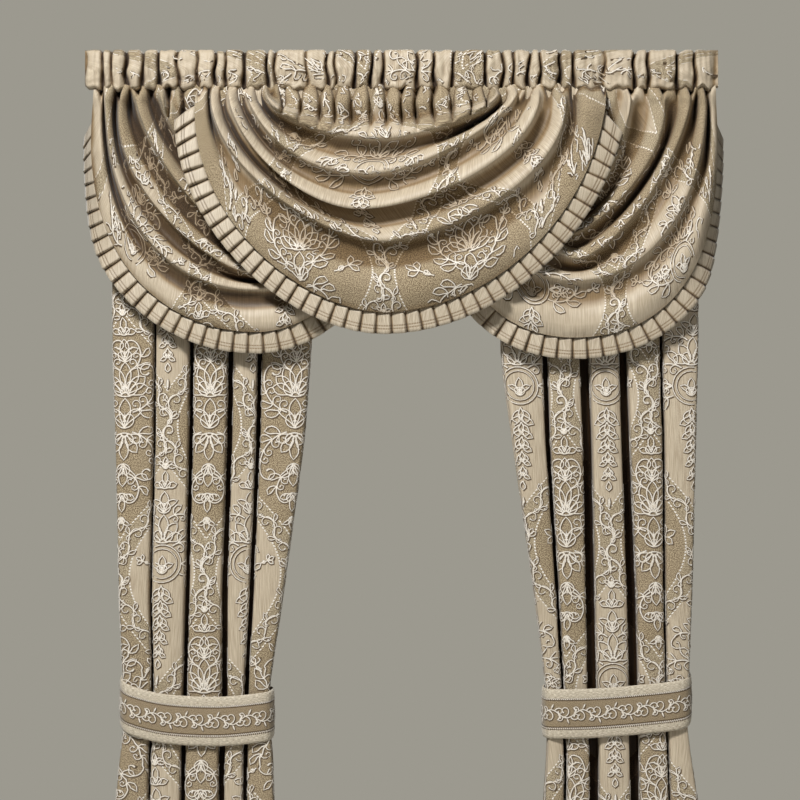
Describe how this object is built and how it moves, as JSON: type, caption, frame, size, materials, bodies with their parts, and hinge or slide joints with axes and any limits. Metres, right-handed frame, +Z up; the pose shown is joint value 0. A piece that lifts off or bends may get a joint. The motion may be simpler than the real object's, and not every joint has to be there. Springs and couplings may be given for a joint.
{
  "type": "swag and tail drape",
  "caption": "Window drape of overlapping gathered swags with pleated trims on a rod pocket, over long fluted tails held by tie bands.",
  "frame": {"origin": "middle of the rod pocket's top edge, over the pocket's middle plane", "axes": "+X along the rod to the right as seen from the room, +Z up, -Y toward the room"},
  "size_m": [1.3029, 0.1797, 2.1339],
  "materials": {
    "damask": "woven sand damask with raised ivory scrolls",
    "pleated_trim": "pleated gold sateen with two stitched lines",
    "tie_band": "gold band with a woven scroll border"
  },
  "bodies": {
    "root": {"valance_heading": "damask", "swag_center": "damask", "swag_left": "damask", "swag_right": "damask", "trim_center": "pleated_trim", "trim_left": "pleated_trim", "trim_right": "pleated_trim", "tail_left": "damask", "tail_right": "damask", "tieback_left": "tie_band", "tieback_right": "tie_band"}
  },
  "joints": []
}
